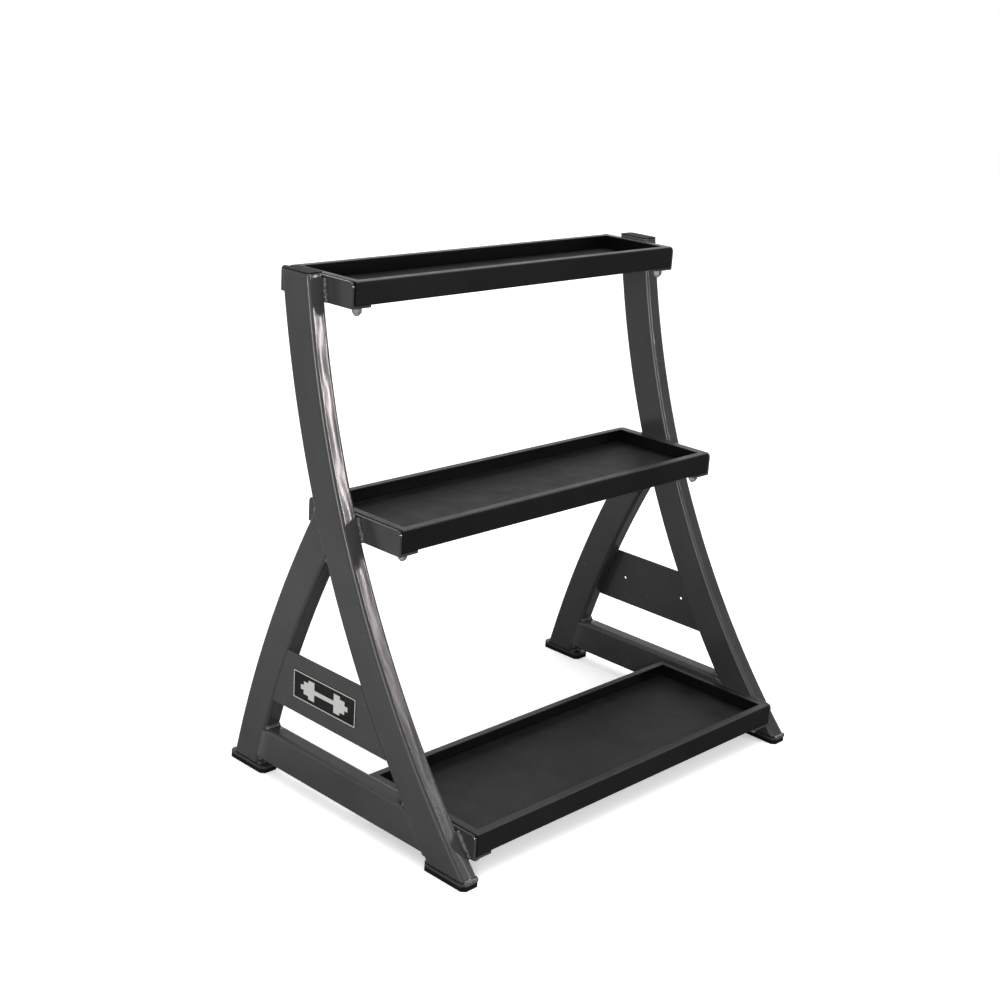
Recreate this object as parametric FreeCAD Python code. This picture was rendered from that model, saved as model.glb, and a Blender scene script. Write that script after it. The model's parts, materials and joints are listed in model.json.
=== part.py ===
import FreeCAD, Part

import math
import os

from FreeCAD import Vector

# Three-tier dumbbell rack, in millimetres.
# +X runs across the width, +Y from the front to the back, +Z up.
# The origin is on the floor, at the centre of the footprint.
# Two side frames of bent rectangular tube carry three folded trays, which studs hold
# down on angles. A rubber mat lies in each tray.
# Everything that comes in pairs is drawn on the left, at -X, and mirrored for the right.

# ---- frame tube -------------------------------------------------------------
TUBE_DEPTH = 75.0        # fore and aft
TUBE_WIDTH = 40.0        # across the rack
TUBE_WALL = 2.5
TUBE_CORNER = 8.0        # outside corner radius
FRAME_OUTER_X = -501.5   # outer face of the left frame
FRAME_INNER_X = FRAME_OUTER_X + TUBE_WIDTH
FRAME_MID_X = FRAME_OUTER_X + TUBE_WIDTH / 2

# Each bent tube follows one arc about an axis along X, given as (y, z).
UPRIGHT_AXIS = (-1793.5, 1332.5)
UPRIGHT_RADIUS = 1993.0
UPRIGHT_TOP = 1050.0
LEG_AXIS = (-1988.5, -561.0)
LEG_RADIUS = 2359.0
LEG_TOP = 600.0          # where its centre-line ends, inside the upright
CAP_THICKNESS = 2.0

# ---- feet -------------------------------------------------------------------
FOOTPRINT_DEPTH = 703.0
FOOT_WIDTH = 44.0
FOOT_LENGTH = 112.0
FOOT_CHAMFER = 8.0
PAD_THICKNESS = 10.0
PAD_EDGE = 1.5
PLATE_THICKNESS = 5.0
TUBE_FOOT = PAD_THICKNESS + PLATE_THICKNESS

# ---- base rail, gusset panel and badge --------------------------------------
RAIL_BOTTOM = 29.0
RAIL_TOP = RAIL_BOTTOM + TUBE_DEPTH
PANEL_BOTTOM = 177.0
PANEL_TOP = 301.0
PANEL_THICKNESS = 3.0
PANEL_INSET = 1.0        # below the outer face of the tubes
PANEL_HOLE = 6.5
PANEL_HOLES_Y = (-28.5, 140.5)
BADGE_LENGTH = 185.0
BADGE_HEIGHT = 59.0
BADGE_CORNER = 1.5

# ---- trays ------------------------------------------------------------------
TRAY_WIDTH = 908.0
TRAY_HEIGHT = 46.0
TRAY_SHEET = 2.5
TRAY_RIM = 16.0          # return flange around the top
TRAY_BEND = 3.0          # outside bend radius
TRAYS = {                # name: (front y, depth, underside z)
    "bottom": (-331.5, 306.0, 47.0),
    "middle": (-95.5, 256.0, 568.0),
    "top": (57.0, 194.0, 1000.0),
}
MAT_THICKNESS = 12.7
MAT_GAP = 1.5            # between the mat and the walls of its tray
MAT_CORNER = 3.0

# ---- tray brackets, 50 x 50 x 5 angle ---------------------------------------
ANGLE_LEG = 50.0
ANGLE_THICKNESS = 5.0
ANGLE_ENDS = {           # name: (start behind the front of the tray, tail past its back)
    "bottom": (0.0, 5.0),
    "middle": (0.0, 5.0),
    "top": (4.0, 15.0),
}
LEAF_CORNER = 10.0
FLANGE_CORNER = 5.0
HEEL_RADIUS = 2.0

# ---- M10 fasteners ----------------------------------------------------------
STUD_X = 434.0
STUD_EDGE = 21.0         # from the front or the back of the tray
STUD_DIAMETER = 10.0
STUD_LENGTH = 22.0
STUD_TIP = 1.0
CLEARANCE_HOLE = 10.5
WASHER_DIAMETER = 21.0
WASHER_THICKNESS = 2.0
NUT_FLATS = 17.0
NUT_HEX_HEIGHT = 8.5
NUT_COLLAR = 15.0
NUT_HEIGHT = 12.0

# ---- welds ------------------------------------------------------------------
BEAD = 5.0               # radius of a bead
FOOT_BEAD = 4.0

X_AXIS = Vector(1, 0, 0)
Y_AXIS = Vector(0, 1, 0)
Z_AXIS = Vector(0, 0, 1)


# ---- helpers ----------------------------------------------------------------
def save(name, solids):
    """Write one node: a single solid, or a group of separate solids."""
    shape = solids[0] if len(solids) == 1 else Part.makeCompound(solids)
    if not shape.isValid() or not shape.Solids:
        raise ValueError(name + " is not a valid solid")
    shape.exportStep("parts/" + name + ".step")


def save_pair(name, solids):
    """Write the left-hand node as drawn, and its mirror image as the right-hand one."""
    save("left_" + name, solids)
    save("right_" + name, [s.mirror(Vector(0, 0, 0), X_AXIS) for s in solids])


def box(x0, x1, y0, y1, z0, z1):
    return Part.makeBox(x1 - x0, y1 - y0, z1 - z0, Vector(x0, y0, z0))


def rounded(solid, radius, wanted):
    """The solid with those straight edges rounded where wanted(direction, middle) holds."""
    edges = []
    for edge in solid.Edges:
        if len(edge.Vertexes) == 2 and isinstance(edge.Curve, Part.Line):
            start, end = (v.Point for v in edge.Vertexes)
            if wanted((end - start).normalize(), (start + end) / 2):
                edges.append(edge)
    return solid.makeFillet(radius, edges)


def arc_y(axis, radius, z, offset):
    """The y of a bent tube at height z: offset 1 is its rear face and -1 its front face."""
    return axis[0] + math.sqrt((radius + offset * TUBE_DEPTH / 2) ** 2 - (z - axis[1]) ** 2)


def upright_y(z, offset):
    return arc_y(UPRIGHT_AXIS, UPRIGHT_RADIUS, z, offset)


def leg_y(z, offset):
    return arc_y(LEG_AXIS, LEG_RADIUS, z, offset)


# ---- side frames ------------------------------------------------------------
def tube_outline(centre, along, inset):
    """The rounded outline of the tube, 'inset' inside its surface; its depth lies 'along'."""
    half_w = TUBE_WIDTH / 2 - inset
    half_d = TUBE_DEPTH / 2 - inset
    r = TUBE_CORNER - inset
    bulge = r * (1 - math.sqrt(0.5))

    def at(w, d):
        return centre + X_AXIS * w + along * d

    edges = []
    last = at(half_w, r - half_d)
    for w, d in ((1, 1), (-1, 1), (-1, -1), (1, -1)):
        on_side = at(w * half_w, d * (half_d - r))
        on_end = at(w * (half_w - r), d * half_d)
        middle = at(w * (half_w - bulge), d * (half_d - bulge))
        start, end = (on_side, on_end) if w == d else (on_end, on_side)
        edges.append(Part.makeLine(last, start))
        edges.append(Part.Arc(start, middle, end).toShape())
        last = end
    return Part.Wire(edges)


def tube_face(centre, along, hollow):
    """The face that makes a tube, or a solid bar of the same outline."""
    wires = [tube_outline(centre, along, 0)]
    if hollow:
        wires.append(tube_outline(centre, along, TUBE_WALL))
    return Part.makeFace(wires, "Part::FaceMakerBullseye")


def bent_tube(axis, radius, z_low, z_high, hollow):
    """A tube rolled about its axis, between two heights of its centre-line."""
    centre = Vector(FRAME_MID_X, *axis)
    low = math.asin((z_low - axis[1]) / radius)
    high = math.asin((z_high - axis[1]) / radius)
    outward = Vector(0, math.cos(low), math.sin(low))
    face = tube_face(centre + outward * radius, outward, hollow)
    return face.revolve(centre, X_AXIS, math.degrees(high - low))


def slab(z_low, z_high):
    """All the space of the left frame between two heights."""
    return box(FRAME_OUTER_X - 50, FRAME_INNER_X + 50, -600, 600, z_low, z_high)


def space_ahead(axis, radius):
    """All the space ahead of a bent face, which has the given axis and radius."""
    return Part.makeCylinder(radius, 200, Vector(FRAME_MID_X - 100, *axis), X_AXIS)


def upright(hollow=True):
    """The front tube, cut level at the foot plate and under the cap."""
    tube = bent_tube(UPRIGHT_AXIS, UPRIGHT_RADIUS, TUBE_FOOT - 60, UPRIGHT_TOP + 30, hollow)
    return tube.common(slab(TUBE_FOOT, UPRIGHT_TOP))


def rear_leg(hollow=True):
    """The rear tube, coped to the back of the upright and cut level at its foot plate."""
    tube = bent_tube(LEG_AXIS, LEG_RADIUS, TUBE_FOOT - 40, LEG_TOP, hollow)
    upright_back = space_ahead(UPRIGHT_AXIS, UPRIGHT_RADIUS + TUBE_DEPTH / 2)
    return tube.common(slab(TUBE_FOOT, LEG_TOP + 80)).cut(upright_back)


def base_rail(hollow=True):
    """The level tube between the feet of the upright and the rear leg."""
    face = tube_face(Vector(FRAME_MID_X, -260, (RAIL_BOTTOM + RAIL_TOP) / 2), Z_AXIS, hollow)
    upright_back = space_ahead(UPRIGHT_AXIS, UPRIGHT_RADIUS + TUBE_DEPTH / 2)
    leg_front = space_ahead(LEG_AXIS, LEG_RADIUS - TUBE_DEPTH / 2)
    return face.extrude(Y_AXIS * 560).cut(upright_back).common(leg_front)


def gusset_panel():
    """The flat plate between upright and leg, with its two fixing holes."""
    outer = FRAME_OUTER_X + PANEL_INSET
    plate = box(outer, outer + PANEL_THICKNESS, -200, 300, PANEL_BOTTOM, PANEL_TOP)
    plate = plate.cut(upright(hollow=False)).cut(rear_leg(hollow=False))
    plate = max(plate.Solids, key=lambda s: s.Volume)
    for y in PANEL_HOLES_Y:
        start = Vector(outer - 1, y, (PANEL_BOTTOM + PANEL_TOP) / 2)
        plate = plate.cut(Part.makeCylinder(PANEL_HOLE / 2, PANEL_THICKNESS + 2, start, X_AXIS))
    return plate


def side_badge():
    """A thin plate glued over the holes on the outside of the left panel."""
    y = sum(PANEL_HOLES_Y) / 2 - BADGE_LENGTH / 2
    z = (PANEL_BOTTOM + PANEL_TOP) / 2 - BADGE_HEIGHT / 2
    outer = FRAME_OUTER_X
    plate = box(outer, outer + PANEL_INSET, y, y + BADGE_LENGTH, z, z + BADGE_HEIGHT)
    return rounded(plate, BADGE_CORNER, lambda way, middle: abs(way.x) > 0.9)


def top_cap():
    """The plate that closes the top of an upright."""
    y = upright_y(UPRIGHT_TOP, -1)
    back = upright_y(UPRIGHT_TOP, 1)
    top = UPRIGHT_TOP + CAP_THICKNESS
    cap = box(FRAME_OUTER_X, FRAME_INNER_X, y, back, UPRIGHT_TOP, top)
    cap = rounded(cap, TUBE_CORNER, lambda way, middle: abs(way.z) > 0.9)
    rim = [e for e in cap.Edges if all(v.Z > top - 0.1 for v in e.Vertexes)]
    return cap.makeFillet(CAP_THICKNESS / 2, rim)


# ---- feet -------------------------------------------------------------------
def foot_block(front, z, thickness):
    """A chamfered block under the foot of the upright, or of the rear leg."""
    x = FRAME_MID_X - FOOT_WIDTH / 2
    y = -FOOTPRINT_DEPTH / 2 if front else FOOTPRINT_DEPTH / 2 - FOOT_LENGTH
    block = box(x, x + FOOT_WIDTH, y, y + FOOT_LENGTH, z, z + thickness)
    corners = [e for e in block.Edges if abs(e.Vertexes[0].Z - e.Vertexes[1].Z) > 1]
    return block.makeChamfer(FOOT_CHAMFER, corners)


def foot_plate(front):
    return foot_block(front, PAD_THICKNESS, PLATE_THICKNESS)


def foot_pad(front):
    """The rubber pad, with a softened edge where it meets the floor."""
    pad = foot_block(front, 0, PAD_THICKNESS)
    lower = [e for e in pad.Edges if all(v.Z < 0.1 for v in e.Vertexes)]
    return pad.makeFillet(PAD_EDGE, lower)


# ---- trays and their brackets -----------------------------------------------
def stud_places(name):
    """The four stud centres of a tray, on the underside of its floor."""
    front, depth, under = TRAYS[name]
    rows = (front + STUD_EDGE, front + depth - STUD_EDGE)
    return [Vector(x, y, under) for x in (-STUD_X, STUD_X) for y in rows]


def tray(name):
    """A folded sheet tray with a return flange all round."""
    front, depth, under = TRAYS[name]
    half = TRAY_WIDTH / 2
    back = front + depth
    top = under + TRAY_HEIGHT
    outer = box(-half, half, front, back, under, top)
    outer = outer.makeFillet(TRAY_BEND, outer.Edges)
    t, rim = TRAY_SHEET, TRAY_RIM
    inside = box(-half + t, half - t, front + t, back - t, under + t, top - t)
    inside = inside.makeFillet(TRAY_BEND - t, inside.Edges)
    mouth = box(-half + rim, half - rim, front + rim, back - rim, top - 2 * t, top + 1)
    return outer.cut(inside).cut(mouth)


def tray_mat(name):
    """The rubber mat that lies on the floor of a tray, under the return flange."""
    front, depth, under = TRAYS[name]
    inset = TRAY_SHEET + MAT_GAP
    half = TRAY_WIDTH / 2 - inset
    base = under + TRAY_SHEET
    mat = box(-half, half, front + inset, front + depth - inset, base, base + MAT_THICKNESS)
    return rounded(mat, MAT_CORNER, lambda way, mid: abs(way.z) > 0.9)


def shelf_bracket(name):
    """The angle that carries one end of a tray."""
    tray_front, depth, under = TRAYS[name]
    setback, tail = ANGLE_ENDS[name]
    front = tray_front + setback
    back = tray_front + depth + tail
    low = under - ANGLE_THICKNESS
    high = low + ANGLE_LEG
    face = FRAME_INNER_X
    tip = face + ANGLE_LEG
    leaf = box(face, face + ANGLE_THICKNESS, front, back, low, high)
    leaf = rounded(leaf, LEAF_CORNER, lambda way, mid: abs(way.x) > 0.9 and mid.z > high - 1)
    flange = box(face, tip, front, back, low, under)
    flange = rounded(flange, FLANGE_CORNER, lambda way, mid: abs(way.z) > 0.9 and mid.x > tip - 1)
    angle = leaf.fuse(flange).removeSplitter()
    angle = rounded(angle, HEEL_RADIUS, lambda way, mid: mid.x < face + 0.1 and mid.z < low + 0.1)
    for place in stud_places(name):
        if place.x < 0:
            angle = angle.cut(Part.makeCylinder(CLEARANCE_HOLE / 2, ANGLE_THICKNESS, place, -Z_AXIS))
    return angle


# ---- fasteners --------------------------------------------------------------
def hexagon(flats, base, height):
    """A hexagonal prism standing on 'base'."""
    corner = flats / math.sqrt(3)
    turns = [math.radians(60 * i) for i in range(7)]
    ring = [base + Vector(corner * math.cos(a), corner * math.sin(a), 0) for a in turns]
    return Part.Face(Part.makePolygon(ring)).extrude(Z_AXIS * height)


def stud(place):
    """A threaded stud, welded to the underside of the tray."""
    plain = STUD_LENGTH - STUD_TIP
    r = STUD_DIAMETER / 2
    shank = Part.makeCylinder(r, plain, place, -Z_AXIS)
    tip = Part.makeCone(r, r - STUD_TIP, STUD_TIP, place - Z_AXIS * plain, -Z_AXIS)
    return shank.fuse(tip).removeSplitter()


def washer(place):
    top = place - Z_AXIS * ANGLE_THICKNESS
    ring = Part.makeCylinder(WASHER_DIAMETER / 2, WASHER_THICKNESS, top, -Z_AXIS)
    return ring.cut(Part.makeCylinder(CLEARANCE_HOLE / 2, WASHER_THICKNESS, top, -Z_AXIS))


def lock_nut(place):
    """A nylon-insert nut, its collar hanging down."""
    top = place - Z_AXIS * (ANGLE_THICKNESS + WASHER_THICKNESS)
    base = top - Z_AXIS * NUT_HEX_HEIGHT
    small = NUT_FLATS / 2 + 0.4
    chamfer = Part.makeCone(small, small + NUT_HEX_HEIGHT * math.sqrt(3), NUT_HEX_HEIGHT, base)
    hexed = hexagon(NUT_FLATS, base, NUT_HEX_HEIGHT).common(chamfer)
    collar = Part.makeCylinder(NUT_COLLAR / 2, NUT_HEIGHT, top, -Z_AXIS)
    end = [e for e in collar.Edges if len(e.Vertexes) == 1 and e.Vertexes[0].Z < base.z]
    nut = hexed.fuse(collar.makeFillet(1.5, end)).removeSplitter()
    return nut.cut(Part.makeCylinder(STUD_DIAMETER / 2, NUT_HEIGHT, top, -Z_AXIS))


# ---- welds ------------------------------------------------------------------
def bead(start, end, radius, joined):
    """A round-ended bead between two points, trimmed to the pieces that it joins."""
    run = end - start
    solid = Part.makeCylinder(radius, run.Length, start, run)
    for tip in (start, end):
        solid = solid.fuse(Part.makeSphere(radius, tip))
    for piece in joined:
        solid = solid.cut(piece)
    return max(solid.Solids, key=lambda s: s.Volume)


def cross_bead(y, z, radius, joined):
    """A bead that runs across a tube, in a corner of the frame."""
    reach = TUBE_WIDTH / 2 - TUBE_CORNER + 2
    middle = Vector(FRAME_MID_X, y, z)
    return bead(middle - X_AXIS * reach, middle + X_AXIS * reach, radius, joined)


def crossing_height(offset):
    """Where the front (-1) or rear (1) face of the leg meets the back of the upright."""
    low, high = RAIL_TOP, UPRIGHT_TOP
    while high - low > 0.01:
        z = (low + high) / 2
        if leg_y(z, offset) > upright_y(z, 1):
            low = z
        else:
            high = z
    return low


def frame_welds():
    """The beads of one side frame."""
    front_tube = upright(hollow=False)
    rear_tube = rear_leg(hollow=False)
    rail = base_rail(hollow=False)
    beads = []
    for name, (front, depth, under) in TRAYS.items():
        angle = shelf_bracket(name)
        ends = (under - 1, under + ANGLE_LEG - ANGLE_THICKNESS - 8)
        # The rail hides the back edge of the upright beside the lowest bracket.
        offsets = (-1,) if under < RAIL_TOP else (-1, 1)
        for offset in offsets:
            start, end = (Vector(FRAME_INNER_X, upright_y(z, offset), z) for z in ends)
            beads.append(bead(start, end, BEAD, (front_tube, rear_tube, angle)))
    for z in (RAIL_BOTTOM, RAIL_TOP):
        beads.append(cross_bead(upright_y(z, 1), z, BEAD, (front_tube, rail)))
        beads.append(cross_bead(leg_y(z, -1), z, BEAD, (rear_tube, rail)))
    for offset in (-1, 1):
        z = crossing_height(offset)
        beads.append(cross_bead(leg_y(z, offset), z, BEAD, (front_tube, rear_tube)))
    for offset in (-1, 1):
        for tube, y, front in (
            (front_tube, upright_y(TUBE_FOOT, offset), True),
            (rear_tube, leg_y(TUBE_FOOT, offset), False),
        ):
            beads.append(cross_bead(y, TUBE_FOOT, FOOT_BEAD, (tube, foot_plate(front))))
    return beads


def main():
    os.makedirs("parts", exist_ok=True)
    save_pair("upright", [upright()])
    save_pair("rear_leg", [rear_leg()])
    save_pair("base_rail", [base_rail()])
    save_pair("gusset_panel", [gusset_panel()])
    save_pair("top_cap", [top_cap()])
    save_pair("frame_welds", frame_welds())
    for end, front in (("front", True), ("rear", False)):
        save_pair(end + "_foot_plate", [foot_plate(front)])
        save_pair(end + "_foot_pad", [foot_pad(front)])
    save("side_badge", [side_badge()])
    for name in TRAYS:
        places = stud_places(name)
        save_pair(name + "_bracket", [shelf_bracket(name)])
        save(name + "_tray", [tray(name)])
        save(name + "_tray_mat", [tray_mat(name)])
        save(name + "_tray_studs", [stud(place) for place in places])
        save(name + "_tray_washers", [washer(place) for place in places])
        save(name + "_tray_lock_nuts", [lock_nut(place) for place in places])


main()
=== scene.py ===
import json
import math
import random

import bmesh
import bpy
from mathutils import Matrix, Vector, noise


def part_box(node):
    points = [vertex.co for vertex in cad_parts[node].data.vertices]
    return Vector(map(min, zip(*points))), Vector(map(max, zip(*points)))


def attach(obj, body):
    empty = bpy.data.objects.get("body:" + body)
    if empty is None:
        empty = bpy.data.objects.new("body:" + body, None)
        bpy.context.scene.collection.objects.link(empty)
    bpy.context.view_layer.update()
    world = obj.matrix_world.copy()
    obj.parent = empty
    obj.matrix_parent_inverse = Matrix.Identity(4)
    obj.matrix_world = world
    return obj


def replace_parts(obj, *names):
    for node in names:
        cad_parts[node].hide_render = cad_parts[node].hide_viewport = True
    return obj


# Looks of the three-tier dumbbell rack, in metres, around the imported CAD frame.
# +X runs across the width, +Y from the front to the back, +Z up.

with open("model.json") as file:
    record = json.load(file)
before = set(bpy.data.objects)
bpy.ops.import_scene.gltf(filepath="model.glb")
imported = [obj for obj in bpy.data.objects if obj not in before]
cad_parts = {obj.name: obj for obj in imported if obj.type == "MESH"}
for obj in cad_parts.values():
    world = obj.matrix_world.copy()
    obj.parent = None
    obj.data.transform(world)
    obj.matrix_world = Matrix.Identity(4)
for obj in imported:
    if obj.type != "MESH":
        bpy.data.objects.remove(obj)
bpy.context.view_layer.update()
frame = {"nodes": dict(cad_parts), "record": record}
nodes = frame["nodes"]

MM = 0.001
TIERS = ("bottom", "middle", "top")
SIDES = {"left": -1, "right": 1}

# ---- driving dimensions, as in the CAD source --------------------------------
TUBE_DEPTH = 75 * MM
TUBE_WIDTH = 40 * MM
TUBE_CORNER = 8 * MM
TUBE_FOOT = 15 * MM              # height of the tubes' lower ends
FRAME_MID = 481.5 * MM           # from the middle of the rack to the middle of a frame
FRAME_INNER = 461.5 * MM
UPRIGHT_AXIS = (-1793.5 * MM, 1332.5 * MM)
UPRIGHT_RADIUS = 1993 * MM
UPRIGHT_TOP = 1050 * MM
LEG_AXIS = (-1988.5 * MM, -561 * MM)
LEG_RADIUS = 2359 * MM
RAIL_TOP = 104 * MM
PANEL_HOLES_Y = (-28.5 * MM, 140.5 * MM)
PANEL_HOLE_RADIUS = 3.25 * MM
BEAD = 5 * MM
FOOT_BEAD = 4 * MM
BEAD_RISE = (-1 * MM, 37 * MM)   # of a bracket's bead, from the underside of its tray
STUD_RADIUS = 5 * MM
STUD_TIP = 1 * MM                # chamfer of the lower end
THREAD_PITCH = 1.5 * MM
THREAD_DEPTH = 0.92 * MM
WASHER_RADIUS = 10.5 * MM
COLLAR_RADIUS = 7.5 * MM


# ---- material helpers --------------------------------------------------------
class Nodes:
    """A new material with its shader, and short ways to add nodes to it."""

    def __init__(self, name):
        self.material = bpy.data.materials.new(name)
        self.material.use_nodes = True
        self.tree = self.material.node_tree
        self.shader = self.tree.nodes["Principled BSDF"]
        self.place = self.add("ShaderNodeTexCoord").outputs["Object"]

    def add(self, kind, inputs=None, **settings):
        node = self.tree.nodes.new(kind)
        for key, value in settings.items():
            setattr(node, key, value)
        for key, value in (inputs or {}).items():
            if isinstance(value, bpy.types.NodeSocket):
                self.tree.links.new(value, node.inputs[key])
            else:
                node.inputs[key].default_value = value
        return node

    def set(self, **values):
        for key, value in values.items():
            self.shader.inputs[key.replace("_", " ")].default_value = value

    def feed(self, key, output):
        self.tree.links.new(output, self.shader.inputs[key])

    def noise(self, scale, detail=2.0, rough=0.5, stretch=None):
        place = self.place
        if stretch:
            place = self.add("ShaderNodeMapping", {"Vector": place, "Scale": stretch}).outputs[0]
        inputs = {"Vector": place, "Scale": scale, "Detail": detail, "Roughness": rough}
        return self.add("ShaderNodeTexNoise", inputs).outputs["Fac"]

    def between(self, factor, low, high, start=0.3, end=0.7):
        """A number from low to high as the factor goes from start to end."""
        inputs = {"Value": factor, "From Min": start, "From Max": end, "To Min": low, "To Max": high}
        return self.add("ShaderNodeMapRange", inputs).outputs[0]

    def ramp(self, factor, colours, start=0.3, end=0.7):
        """A colour between the given ones as the factor goes from start to end."""
        ramp = self.add("ShaderNodeValToRGB", {"Fac": factor})
        ends = ramp.color_ramp.elements
        ends[0].position, ends[1].position = start, end
        ends[0].color, ends[1].color = ((*c, 1) for c in colours)
        return ramp.outputs["Color"]

    def relief(self, layers, rounding=0.0):
        """Bump from (height, depth in metres) layers, over edges rounded to a radius."""
        normal = None
        if rounding:
            normal = self.add("ShaderNodeBevel", {"Radius": rounding}, samples=4).outputs[0]
        for height, depth in layers:
            inputs = {"Height": height, "Distance": depth, "Strength": 1.0}
            if normal:
                inputs["Normal"] = normal
            normal = self.add("ShaderNodeBump", inputs).outputs["Normal"]
        self.feed("Normal", normal)


def powder_coat(name, dark, light, gloss, peel, rounding):
    """Baked powder coat: faint mottling, orange peel, and a roughness that wanders."""
    m = Nodes(name)
    cloud = m.noise(9.0, 3.0)
    m.feed("Base Color", m.ramp(cloud, (dark, light)))
    m.feed("Roughness", m.between(m.noise(26.0, 4.0), *gloss))
    grain = m.noise(900.0, 1.0)
    wave = m.noise(240.0, 2.0)
    sag = m.noise(34.0, 1.0)
    m.relief(((sag, 0.4 * peel), (wave, peel), (grain, 0.1 * peel)), rounding)
    return m


FRAME_COAT = powder_coat("charcoal_powder_coat", (0.037, 0.037, 0.038), (0.047, 0.047, 0.048),
                         (0.20, 0.28), 0.000012, 0.0005)
FRAME_COAT.set(Coat_Weight=0.3, Coat_Roughness=0.11, Specular_IOR_Level=0.25)


def weld_coat():
    """The same coat run thin and shiny over the lumps and spatter of a weld."""
    m = Nodes("charcoal_on_weld")
    m.feed("Base Color", m.ramp(m.noise(180.0, 3.0), ((0.032, 0.032, 0.033), (0.075, 0.075, 0.078))))
    m.feed("Roughness", m.between(m.noise(420.0, 2.0), 0.10, 0.26))
    m.relief(((m.noise(380.0, 2.0), 0.0012), (m.noise(1300.0, 1.0), 0.00025)))
    m.set(Coat_Weight=1.0, Coat_Roughness=0.05)
    return m


WELD_COAT = weld_coat()


def tray_coat(tier):
    """Satin black, which comes out glossier on the exposed rim than down in the tray."""
    m = powder_coat(tier + "_tray_satin_black", (0.0060, 0.0060, 0.0063), (0.0085, 0.0085, 0.0088),
                    (0.36, 0.48), 0.000012, 0.0008)
    height = m.add("ShaderNodeSeparateXYZ", {"Vector": m.place}).outputs["Z"]
    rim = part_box(tier + "_tray")[1].z
    m.feed("Specular IOR Level", m.between(height, 0.12, 0.77, rim - 2 * MM, rim))
    return m


# The caps are the frame's charcoal paint made several times darker and less specular: painted shade on
# their upward faces.
CAP_COAT_PAINTED_SHADE = powder_coat("charcoal_on_cap_painted_shade", (0.006, 0.006, 0.0062), (0.009, 0.009, 0.0093),
                       (0.42, 0.55), 0.00003, 0.0004)
CAP_COAT_PAINTED_SHADE.set(Specular_IOR_Level=0.06)


def rubber():
    m = Nodes("black_rubber")
    m.feed("Base Color", m.ramp(m.noise(60.0, 4.0), ((0.005, 0.005, 0.005), (0.009, 0.009, 0.009))))
    m.feed("Roughness", m.between(m.noise(140.0, 3.0), 0.62, 0.85))
    m.relief(((m.noise(1400.0, 2.0), 0.00005), (m.noise(300.0), 0.00006)), 0.0006)
    m.set(Specular_IOR_Level=0.12)
    return m


def mat_rubber():
    """Pressed rubber sheet: a fine pebble, a broad sheen and patches rubbed by use."""
    m = Nodes("rubber_mat")
    m.feed("Base Color", m.ramp(m.noise(14.0, 5.0), ((0.0062, 0.0062, 0.0062), (0.0115, 0.0115, 0.0115))))
    m.feed("Roughness", m.between(m.noise(22.0, 4.0), 0.46, 0.60))
    m.relief(((m.noise(650.0, 2.0), 0.00008), (m.noise(30.0, 2.0), 0.00006)), 0.0012)
    m.set(Specular_IOR_Level=0.38)
    return m


def zinc():
    m = Nodes("bright_zinc_plate")
    m.feed("Base Color", m.ramp(m.noise(320.0, 3.0), ((0.26, 0.26, 0.255), (0.44, 0.43, 0.41))))
    m.feed("Roughness", m.between(m.noise(700.0, 2.0), 0.18, 0.38))
    m.relief(((m.noise(1500.0, 2.0), 0.00003),), 0.0003)
    m.set(Metallic=1.0)
    return m


def nylon():
    m = Nodes("nylon_insert")
    m.feed("Base Color", m.ramp(m.noise(900.0), ((0.62, 0.64, 0.66), (0.72, 0.74, 0.75))))
    m.feed("Roughness", m.between(m.noise(700.0), 0.35, 0.5))
    m.relief(((m.noise(1200.0), 0.00003),))
    m.set(Subsurface_Weight=0.1)
    return m


def badge_black():
    m = Nodes("badge_black")
    m.feed("Base Color", m.ramp(m.noise(45.0, 3.0), ((0.006, 0.006, 0.006), (0.012, 0.012, 0.012))))
    m.feed("Roughness", m.between(m.noise(90.0, 3.0), 0.22, 0.34))
    m.relief(((m.noise(700.0), 0.00001),), 0.0004)
    m.set(Specular_IOR_Level=0.12)
    return m


def badge_print():
    m = Nodes("badge_silver_print")
    m.feed("Base Color", m.ramp(m.noise(420.0, 4.0), ((0.56, 0.55, 0.52), (0.70, 0.69, 0.66))))
    m.feed("Roughness", m.between(m.noise(260.0, 3.0), 0.32, 0.5))
    m.relief(((m.noise(1600.0, 2.0), 0.00003),))
    m.set(Metallic=0.15)
    return m


FINISHES = {
    "frame_paint": FRAME_COAT,
    "weld_paint": WELD_COAT,
    "pad_rubber": rubber(),
    "mat_rubber": mat_rubber(),
    "zinc": zinc(),
    "badge": badge_black(),
}
NYLON = nylon()
PRINT = badge_print()


def paint(piece, finish):
    piece.data.materials.clear()
    piece.data.materials.append(finish.material)


for part in frame["record"]["subparts"]:
    if part["material_slot"] in FINISHES:
        paint(nodes[part["node"]], FINISHES[part["material_slot"]])
for tier in TIERS:
    paint(nodes[tier + "_tray"], tray_coat(tier))
# The caps get the darkened charcoal, which paints shade on their tops.
for side in SIDES:
    paint(nodes[side + "_top_cap"], CAP_COAT_PAINTED_SHADE)


# ---- mesh helpers ------------------------------------------------------------
def piece_from(name, bm, finish, smooth=True):
    """A piece on the root body, made from a bmesh."""
    bmesh.ops.recalc_face_normals(bm, faces=bm.faces)
    mesh = bpy.data.meshes.new(name)
    bm.to_mesh(mesh)
    bm.free()
    for face in mesh.polygons:
        face.use_smooth = smooth
    piece = bpy.data.objects.new(name, mesh)
    bpy.context.scene.collection.objects.link(piece)
    paint(piece, finish)
    if smooth:
        piece.modifiers.new("even_normals", "WEIGHTED_NORMAL")
    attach(piece, "root")
    return piece


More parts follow.
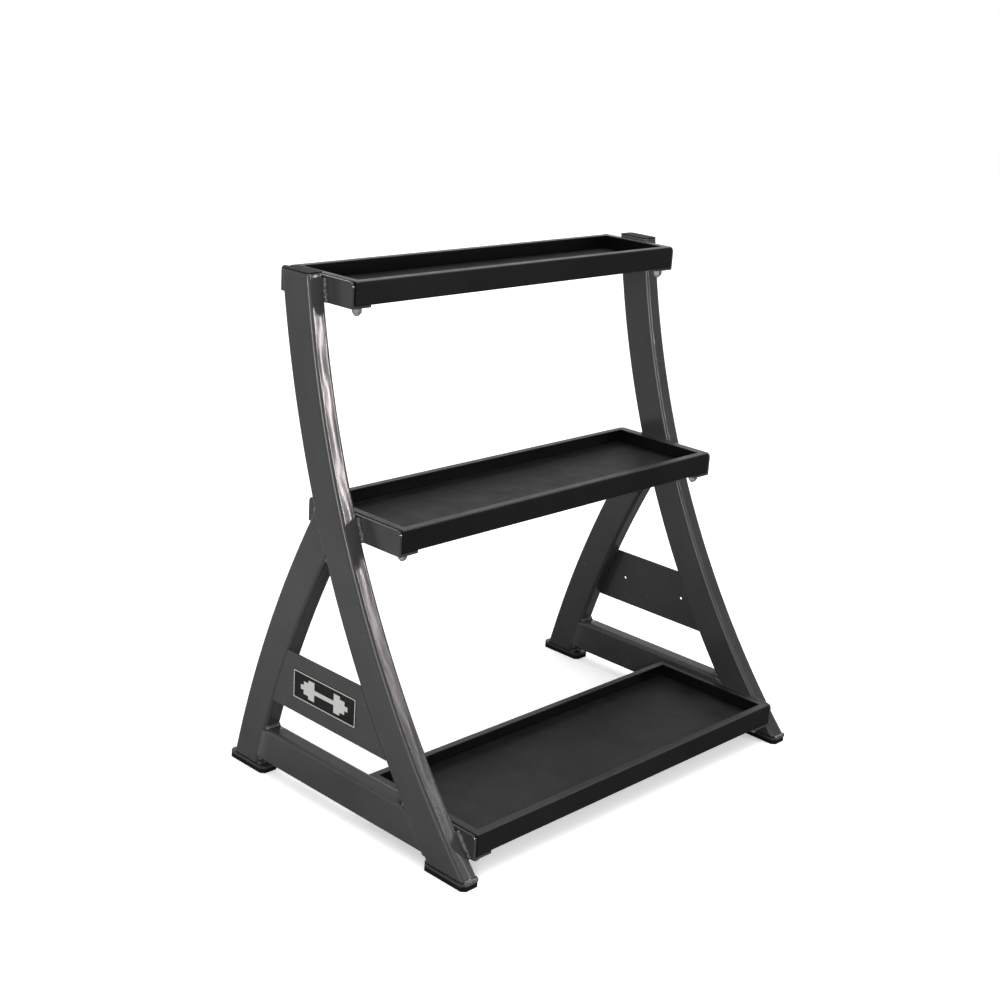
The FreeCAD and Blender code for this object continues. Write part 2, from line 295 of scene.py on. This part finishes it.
def skin(bm, rings, around=True):
    """Quads between rings of equal length, with both ends closed by a fan."""
    made = [[bm.verts.new(p) for p in ring] for ring in rings]
    for low, high in zip(made, made[1:]):
        count = len(low)
        for i in range(count if around else count - 1):
            j = (i + 1) % count
            bm.faces.new((low[i], low[j], high[j], high[i]))
    for ring in (made[0], made[-1]):
        middle = bm.verts.new(sum((v.co for v in ring), Vector()) / len(ring))
        for a, b in zip(ring, ring[1:] + ring[:1]):
            bm.faces.new((a, b, middle))


# ---- frame tubes -------------------------------------------------------------
CORNER_STEPS = 8
FACE_STEPS = 12
RING_GAP = 4 * MM                # between the rings of a bent tube
RAIL_STEPS = 16
PANEL_STEPS = 24
HOLE_POINTS = 32
SEAM = 1.8 * MM                  # how far short of the flat side a coped tube stops
SINK = 0.35 * MM                 # how deep a coped end sits in its neighbour
HOLLOW = 0.30 * MM               # bending draws the face inside the curve in by this much


def tube_y(axis, radius, z):
    return axis[0] + math.sqrt(radius ** 2 - (z - axis[1]) ** 2)


def upright_y(z, offset):
    return tube_y(UPRIGHT_AXIS, UPRIGHT_RADIUS + offset * TUBE_DEPTH / 2, z)


def leg_y(z, offset):
    return tube_y(LEG_AXIS, LEG_RADIUS + offset * TUBE_DEPTH / 2, z)


def crossing(offset, back=1.0):
    """The height where a line of the leg, given in half depths from its middle, meets the upright."""
    low, high = RAIL_TOP, UPRIGHT_TOP
    while high - low > 1e-6:
        z = (low + high) / 2
        if leg_y(z, offset) > upright_y(z, back):
            low = z
        else:
            high = z
    return low


def outline(across, deep):
    """(x, depth) points round a tube, with several across the face at -deep / 2."""
    r = TUBE_CORNER
    half_x, half_d = across / 2 - r, deep / 2 - r
    points = []
    for x, d, first in ((half_x, -half_d, 270), (half_x, half_d, 0), (-half_x, half_d, 90),
                        (-half_x, -half_d, 180)):
        for k in range(CORNER_STEPS + 1):
            a = math.radians(first + 90 * k / CORNER_STEPS)
            points.append((x + r * math.cos(a), d + r * math.sin(a)))
    inner = [(-half_x + 2 * half_x * k / FACE_STEPS, -deep / 2) for k in range(1, FACE_STEPS)]
    return points + inner


def back_face(x):
    """How far back an upright's surface lies at x from its middle, in half depths."""
    beyond = max(abs(x) - (TUBE_WIDTH / 2 - TUBE_CORNER), 0)
    surface = TUBE_DEPTH / 2 - TUBE_CORNER + math.sqrt(max(TUBE_CORNER ** 2 - beyond ** 2, 0)) - SINK
    seam = TUBE_DEPTH / 2 - TUBE_CORNER + SEAM
    return max(surface, seam) / (TUBE_DEPTH / 2)


def drawn_in(x, z, seed):
    """The hollow that bending leaves in the face inside the curve, uneven along the tube."""
    flat = TUBE_WIDTH / 2 - TUBE_CORNER
    if abs(x) >= flat:
        return 0.0
    across = x / flat
    deep = 1.0 + 1.6 * noise.noise(Vector((seed, 0, z * 11)))
    lean = 2.4 * noise.noise(Vector((seed, 9, z * 14))) * across
    crease = 0.16 * noise.noise(Vector((seed, across, z * 55)))
    return HOLLOW * (deep + lean + crease) * (1 - across ** 2)


def bent_tube(bm, place, curve, low, tops, seed):
    """A tube bent about an axis along X, from a level foot up to a height for each line of it."""
    lines = outline(TUBE_WIDTH, TUBE_DEPTH)
    half = TUBE_DEPTH / 2
    rings = []
    count = int((max(tops) - low) / RING_GAP)
    for n in range(count + 1):
        ring = []
        for (x, depth), top in zip(lines, tops):
            z = low + (top - low) * n / count
            if depth == -half:
                depth += drawn_in(x, z, seed)
            ring.append(Vector((place + x, curve(z, depth / half), z)))
        rings.append(ring)
    skin(bm, rings)


def frame_tubes():
    lines = outline(TUBE_WIDTH, TUBE_DEPTH)
    half = TUBE_DEPTH / 2
    copes = [crossing(depth / half, back_face(x)) for x, depth in lines]
    for side, sign in SIDES.items():
        middle = sign * FRAME_MID
        bm = bmesh.new()
        bent_tube(bm, middle, upright_y, TUBE_FOOT, [UPRIGHT_TOP] * len(lines), 3.1 + sign)
        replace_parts(piece_from(side + "_upright_tube", bm, FRAME_COAT), side + "_upright")

        bm = bmesh.new()
        bent_tube(bm, middle, leg_y, TUBE_FOOT, copes, 8.3 + sign)
        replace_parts(piece_from(side + "_leg_tube", bm, FRAME_COAT), side + "_rear_leg")

        low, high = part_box(side + "_base_rail")
        level = (low.z + high.z) / 2
        bm = bmesh.new()
        rings = []
        for n in range(RAIL_STEPS + 1):
            ring = []
            for x, depth in lines:
                z = level - depth
                start, end = upright_y(z, back_face(x)), leg_y(z, -back_face(x))
                ring.append(Vector((middle + x, start + (end - start) * n / RAIL_STEPS, z)))
            rings.append(ring)
        skin(bm, rings)
        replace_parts(piece_from(side + "_rail_tube", bm, FRAME_COAT), side + "_base_rail")


def gusset_panels():
    """Flat plates between upright and leg, each with its two fixing holes."""
    turns = [2 * math.pi * k / HOLE_POINTS for k in range(HOLE_POINTS)]
    for side in SIDES:
        low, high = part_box(side + "_gusset_panel")
        at = abs(low.x + high.x) / 2 - FRAME_MID
        reach = back_face(at)
        heights = [low.z + (high.z - low.z) * n / PANEL_STEPS for n in range(PANEL_STEPS + 1)]
        loops = [[(upright_y(z, reach), z) for z in heights]
                 + [(leg_y(z, -reach), z) for z in reversed(heights)]]
        middle = (low.z + high.z) / 2
        r = PANEL_HOLE_RADIUS
        for y in PANEL_HOLES_Y:
            loops.append([(y + r * math.cos(a), middle + r * math.sin(a)) for a in turns])
        bm = bmesh.new()
        edges = []
        for loop in loops:
            ring = [bm.verts.new((low.x, y, z)) for y, z in loop]
            edges += [bm.edges.new(pair) for pair in zip(ring, ring[1:] + ring[:1])]
        made = bmesh.ops.triangle_fill(bm, use_beauty=True, use_dissolve=False, edges=edges)
        faces = [f for f in made["geom"] if isinstance(f, bmesh.types.BMFace)]
        grown = bmesh.ops.extrude_face_region(bm, geom=faces)
        moved = [v for v in grown["geom"] if isinstance(v, bmesh.types.BMVert)]
        bmesh.ops.translate(bm, verts=moved, vec=(high.x - low.x, 0, 0))
        panel = piece_from(side + "_panel", bm, FRAME_COAT, smooth=False)
        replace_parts(panel, side + "_gusset_panel")


# ---- weld beads --------------------------------------------------------------
RIPPLE = 1.9 * MM                # length of one ripple of a bead
RIPPLE_BOW = 0.22                # how far a ripple bows along the run, in ripples
RIPPLE_RISE = 0.20               # the rest of the shape is in radii of the bead
LUMP = 0.34
WANDER = 0.10
OVERRUN = 0.8                    # at each end
LEAF_GAP = 4 * MM                # from the frame to the back of a bracket's bead
RING_STEP = 0.3 * MM
RING_POINTS = 20


def bead_rings(start, end, radius, rng):
    """Rings of a laid weld bead: overlapping ripples that bow along the run, with lumps."""
    run = end - start
    along = run.normalized()
    side = along.orthogonal().normalized()
    up = along.cross(side)
    leaf = FRAME_INNER - LEAF_GAP
    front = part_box("left_frame_welds")[0].y
    seed = Vector((rng.uniform(0, 50), rng.uniform(0, 50), rng.uniform(0, 50)))
    phase = rng.random()
    length = run.length + 2 * OVERRUN * radius
    count = int(length / RING_STEP)
    rings = []
    for n in range(count + 1):
        t = n / count
        s = t * length - OVERRUN * radius
        edge = min(t, 1 - t) * length / (OVERRUN * radius)
        taper = math.sqrt(max(0.02, 1 - (1 - min(edge, 1)) ** 2))
        wander = noise.noise(seed + Vector((s * 90, 0, 0))) * WANDER * radius
        ring = []
        for k in range(RING_POINTS):
            a = 2 * math.pi * k / RING_POINTS
            wave = (s / RIPPLE + phase + RIPPLE_BOW * math.cos(2 * a)) % 1.0
            ripple = 0.98 + RIPPLE_RISE * math.sqrt(wave)
            way = side * math.cos(a) + up * math.sin(a)
            lump = LUMP * noise.noise(seed + way * 1.3 + along * s * 210)
            point = start + along * s + side * wander + way * radius * taper * (ripple + lump)
            if abs(along.z) > 0.5:
                point.x = math.copysign(max(abs(point.x), leaf), point.x)
            point.y = max(point.y, front)
            ring.append(point)
        rings.append(ring)
    return rings


def bead_runs():
    """(start, end, radius) of each bead of the left frame, as in the CAD."""
    runs = []
    for tier in TIERS:
        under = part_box(tier + "_tray")[0].z
        ends = [under + rise for rise in BEAD_RISE]
        offsets = (-1,) if tier == "bottom" else (-1, 1)
        for offset in offsets:
            points = [Vector((-FRAME_INNER, upright_y(z, offset), z)) for z in ends]
            runs.append((*points, BEAD))
    reach = TUBE_WIDTH / 2 - TUBE_CORNER + 2 * MM
    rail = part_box("left_base_rail")
    across = [(upright_y(z, 1), z, BEAD) for z in (rail[0].z, rail[1].z)]
    across += [(leg_y(z, -1), z, BEAD) for z in (rail[0].z, rail[1].z)]
    across += [(leg_y(crossing(k), k), crossing(k), BEAD) for k in (-1, 1)]
    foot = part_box("left_front_foot_plate")[1].z
    for offset in (-1, 1):
        across += [(upright_y(foot, offset), foot, FOOT_BEAD), (leg_y(foot, offset), foot, FOOT_BEAD)]
    for y, z, radius in across:
        middle = Vector((-FRAME_MID, y, z))
        step = Vector((reach, 0, 0))
        runs.append((middle - step, middle + step, radius))
    return runs


def weld_beads():
    for side, sign in SIDES.items():
        rng = random.Random(7 + sign)
        flip = Vector((-sign, 1, 1))
        bm = bmesh.new()
        for start, end, radius in bead_runs():
            skin(bm, bead_rings(start * flip, end * flip, radius, rng))
        beads = piece_from(side + "_weld_beads", bm, WELD_COAT)
        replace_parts(beads, side + "_frame_welds")


# ---- threaded studs and nylon inserts ----------------------------------------
THREAD_POINTS = 28
PITCH_STEPS = 8                  # rings in each pitch of the thread


def stud_centres(tier):
    """Where the studs of a tray stand, from the box of its washers."""
    low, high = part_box(tier + "_tray_washers")
    ys = (low.y + WASHER_RADIUS, high.y - WASHER_RADIUS)
    return [(x, y) for x in (low.x + WASHER_RADIUS, high.x - WASHER_RADIUS) for y in ys]


def thread_rings(x, y, low, high):
    """Rings of a screw thread between two heights, with a chamfered lower end."""
    steps = int((high - low) / (THREAD_PITCH / PITCH_STEPS))
    for n in range(steps + 1):
        z = low + (high - low) * n / steps
        tip = min(1.0, (z - low) / STUD_TIP)
        ring = []
        for k in range(THREAD_POINTS):
            a = 2 * math.pi * k / THREAD_POINTS
            turn = (z / THREAD_PITCH + k / THREAD_POINTS) % 1.0
            cut = THREAD_DEPTH * (1 - abs(2 * turn - 1)) ** 0.8
            r = min(STUD_RADIUS - cut, STUD_RADIUS - STUD_TIP * (1 - tip))
            ring.append(Vector((x + r * math.cos(a), y + r * math.sin(a), z)))
        yield ring


def ring_of(bm, centre, profile, points=40):
    """A closed ring swept round the vertical axis through centre, from (radius, z) corners."""
    turns = []
    for k in range(points):
        a = 2 * math.pi * k / points
        way = Vector((math.cos(a), math.sin(a), 0))
        turns.append([bm.verts.new(Vector((*centre, z)) + way * r) for r, z in profile])
    for here, there in zip(turns, turns[1:] + turns[:1]):
        for i in range(len(profile)):
            j = (i + 1) % len(profile)
            bm.faces.new((here[i], here[j], there[j], there[i]))


def fasteners():
    """The threaded studs in place of the plain ones, and the nylon in the lock nuts."""
    for tier in TIERS:
        low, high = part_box(tier + "_tray_studs")
        bm = bmesh.new()
        for x, y in stud_centres(tier):
            skin(bm, list(thread_rings(x, y, low.z, high.z)))
        studs = piece_from(tier + "_threaded_studs", bm, FINISHES["zinc"])
        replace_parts(studs, tier + "_tray_studs")

        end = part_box(tier + "_tray_lock_nuts")[0].z
        bm = bmesh.new()
        inner, outer = STUD_RADIUS - 0.3 * MM, COLLAR_RADIUS - 1.1 * MM
        profile = [(inner, end + 2 * MM), (outer, end + 2 * MM), (outer, end - 0.25 * MM),
                   (outer - 0.3 * MM, end - 0.45 * MM), (inner + 0.3 * MM, end - 0.45 * MM),
                   (inner, end - 0.2 * MM)]
        for centre in stud_centres(tier):
            ring_of(bm, centre, profile)
        piece_from(tier + "_nut_inserts", bm, NYLON, smooth=False)


# ---- badge print -------------------------------------------------------------
PRINT_PROUD = 0.15 * MM
PRINT_DEPTH = 0.4 * MM
BORDER_INSET = 0.5 * MM
BORDER_LINE = 1.9 * MM
BORDER_CORNERS = (1.2 * MM, 0.6 * MM)
SIGN_CORNERS_MM = ((29, 4.5), (29, 20), (47, 20), (47, 13.5), (61, 13.5), (61, 5), (70, 5))


def slab(bm, corners, outer, depth):
    """A thin plate in the side plane, its outline given as (y, z) corners."""
    faces = []
    for x in (outer, outer + depth):
        faces.append([bm.verts.new((x, y, z)) for y, z in corners])
    front, back = faces
    bm.faces.new(front)
    bm.faces.new(back[::-1])
    for i in range(len(front)):
        j = (i + 1) % len(front)
        bm.faces.new((front[i], front[j], back[j], back[i]))


def rounded_box(low, high, r, steps=5):
    """The (y, z) outline of a rectangle with round corners."""
    centres = ((high[0] - r, high[1] - r, 0), (low[0] + r, high[1] - r, 90),
               (low[0] + r, low[1] + r, 180), (high[0] - r, low[1] + r, 270))
    points = []
    for y, z, first in centres:
        for k in range(steps + 1):
            a = math.radians(first + 90 * k / steps)
            points.append((y + r * math.cos(a), z + r * math.sin(a)))
    return points


def badge_marks():
    """A border and a plain dumbbell sign, printed on the badge plate."""
    low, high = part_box("side_badge")
    y, z = (low.y + high.y) / 2, (low.z + high.z) / 2
    outer = low.x - PRINT_PROUD

    bm = bmesh.new()
    loops = []
    for inset, r in zip((BORDER_INSET, BORDER_INSET + BORDER_LINE), BORDER_CORNERS):
        ring = rounded_box((low.y + inset, low.z + inset), (high.y - inset, high.z - inset), r)
        loops.append([[bm.verts.new((x, a, b)) for a, b in ring] for x in (outer, outer + PRINT_DEPTH)])
    (out_front, out_back), (in_front, in_back) = loops
    count = len(out_front)
    for i in range(count):
        j = (i + 1) % count
        bm.faces.new((out_front[i], out_front[j], in_front[j], in_front[i]))
        bm.faces.new((out_back[i], in_back[i], in_back[j], out_back[j]))
        bm.faces.new((out_front[i], out_back[i], out_back[j], out_front[j]))
        bm.faces.new((in_front[i], in_front[j], in_back[j], in_back[i]))
    piece_from("badge_border", bm, PRINT, smooth=False)

    upper = [(-across, up) for across, up in reversed(SIGN_CORNERS_MM)] + list(SIGN_CORNERS_MM)
    sign = upper + [(across, -up) for across, up in reversed(upper)]
    bm = bmesh.new()
    slab(bm, [(y + across * MM, z + up * MM) for across, up in sign], outer, PRINT_DEPTH)
    piece_from("badge_dumbbell_sign", bm, PRINT, smooth=False)


# ---- studio ------------------------------------------------------------------
FLOOR_RADIUS = 14.0
FLOOR_GREY = 0.95                # what the camera sees; other rays see the two below
FLOOR_BOUNCE = (0.60, 0.22)      # to the left and to the right of the rack
FLOOR_BOUNCE_X = (-1.2, 0.3)
FLOOR_GLOW = 0.45
DOME_HEIGHTS = ((0.0, 0.90), (0.19, 0.90), (0.30, 0.45), (0.56, 0.20), (0.88, 1.0))
DOME_STRENGTH = 1.45
FLAG_STRENGTH = 0.35             # of the dome where the flag stands
FLAG_WAY = (0.74, -0.67, 0)
FLAG_EDGE = (0.72, 0.94)         # cosine of the angle off FLAG_WAY, from clear to dark


def floor():
    """A plain floor, pale to the camera and greyer in what it throws back on the paint."""
    mesh = bpy.data.meshes.new("studio_floor")
    bm = bmesh.new()
    bmesh.ops.create_circle(bm, cap_ends=True, segments=96, radius=FLOOR_RADIUS)
    bm.to_mesh(mesh)
    bm.free()
    piece = bpy.data.objects.new("studio_floor", mesh)
    bpy.context.scene.collection.objects.link(piece)
    m = Nodes("studio_floor")
    seen = m.add("ShaderNodeLightPath").outputs["Is Camera Ray"]
    across = m.add("ShaderNodeSeparateXYZ", {"Vector": m.place}).outputs["X"]
    bounce = m.between(across, *FLOOR_BOUNCE, *FLOOR_BOUNCE_X)
    pale = {0: bounce, 1: m.between(seen, 0.0, FLOOR_GREY, 0, 1)}
    m.feed("Base Color", m.add("ShaderNodeMath", pale, operation="MAXIMUM").outputs[0])
    m.feed("Roughness", m.between(m.noise(3.0), 0.85, 0.95))
    m.feed("Emission Strength", m.between(seen, 0.0, FLOOR_GLOW, 0, 1))
    m.set(Specular_IOR_Level=0.1, Emission_Color=(1, 1, 1, 1))
    piece.data.materials.append(m.material)


def softbox(name, where, aim, size, watts, colour=(1, 1, 1)):
    """A rectangular light at one point, turned towards another."""
    light = bpy.data.lights.new(name, "AREA")
    light.shape = "RECTANGLE"
    light.size, light.size_y = size
    light.energy = watts
    light.color = colour
    lamp = bpy.data.objects.new(name, light)
    lamp.location = where
    lamp.rotation_euler = (Vector(aim) - Vector(where)).to_track_quat("-Z", "Y").to_euler()
    bpy.context.scene.collection.objects.link(lamp)


def studio_world():
    """A soft dome, bright overhead and round the horizon, with a dark flag at the right front.

    The camera sees plain white.
    """
    world = bpy.data.worlds.new("studio")
    bpy.context.scene.world = world
    world.use_nodes = True
    tree = world.node_tree
    link = tree.links.new
    place = tree.nodes.new("ShaderNodeTexCoord")
    split = tree.nodes.new("ShaderNodeSeparateXYZ")
    link(place.outputs["Generated"], split.inputs[0])
    ramp = tree.nodes.new("ShaderNodeValToRGB")
    link(split.outputs["Z"], ramp.inputs["Fac"])
    stops = ramp.color_ramp.elements
    for position, _ in DOME_HEIGHTS[2:]:
        stops.new(position)
    for stop, (position, grey) in zip(stops, DOME_HEIGHTS):
        stop.position = position
        stop.color = (grey, grey, grey, 1)
    dome = tree.nodes["Background"]
    link(ramp.outputs["Color"], dome.inputs["Color"])
    toward = tree.nodes.new("ShaderNodeVectorMath")
    toward.operation = "DOT_PRODUCT"
    toward.inputs[1].default_value = FLAG_WAY
    link(place.outputs["Generated"], toward.inputs[0])
    flag = tree.nodes.new("ShaderNodeMapRange")
    limits = (*FLAG_EDGE, DOME_STRENGTH, FLAG_STRENGTH)
    for key, value in zip(("From Min", "From Max", "To Min", "To Max"), limits):
        flag.inputs[key].default_value = value
    link(toward.outputs["Value"], flag.inputs["Value"])
    link(flag.outputs["Result"], dome.inputs["Strength"])
    plain = tree.nodes.new("ShaderNodeBackground")
    plain.inputs["Color"].default_value = (1, 1, 1, 1)
    path = tree.nodes.new("ShaderNodeLightPath")
    mix = tree.nodes.new("ShaderNodeMixShader")
    link(path.outputs["Is Camera Ray"], mix.inputs["Fac"])
    link(dome.outputs[0], mix.inputs[1])
    link(plain.outputs[0], mix.inputs[2])
    link(mix.outputs[0], tree.nodes["World Output"].inputs["Surface"])


def camera():
    """The photograph's viewpoint: its place, bearing, height and roll, and its lens."""
    bearing, height, roll = (math.radians(a) for a in (-46.602, 17.751, 3.754))
    back = Vector((math.sin(bearing) * math.cos(height), -math.cos(bearing) * math.cos(height),
                   math.sin(height)))
    right = (-back).cross(Vector((0, 0, 1))).normalized()
    up = back.cross(right)
    tilted = right * math.cos(roll) + up * math.sin(roll)
    upward = up * math.cos(roll) - right * math.sin(roll)
    lens = bpy.data.cameras.new("camera")
    lens.sensor_width = 36.0
    lens.lens = 59.03
    lens.clip_start, lens.clip_end = 0.05, 60.0
    eye = bpy.data.objects.new("camera", lens)
    turn = Matrix((tilted, upward, back)).transposed().to_4x4()
    eye.matrix_world = Matrix.Translation((-2.3886, -2.1615, 1.5899)) @ turn
    bpy.context.scene.collection.objects.link(eye)
    bpy.context.scene.camera = eye


frame_tubes()
gusset_panels()
weld_beads()
fasteners()
badge_marks()
floor()
studio_world()
camera()
bpy.context.scene.view_settings.view_transform = "Standard"

softbox("front_right_strip", (1.42, -2.22, 1.24), (-0.48, 0.1, 0.8), (0.13, 0.42), 13, (1.0, 0.90, 0.90))
softbox("front_right_upper", (1.60, -2.34, 1.72), (-0.48, -0.1, 0.3), (0.07, 0.5), 1.2, (0.95, 0.93, 1.0))
softbox("left_front_edge", (-3.2, -2.25, 1.28), (-0.5, -0.1, 0.5), (0.5, 0.45), 22)
softbox("overhead", (0.3, -0.4, 3.6), (0, 0, 0.3), (2.6, 2.0), 45)
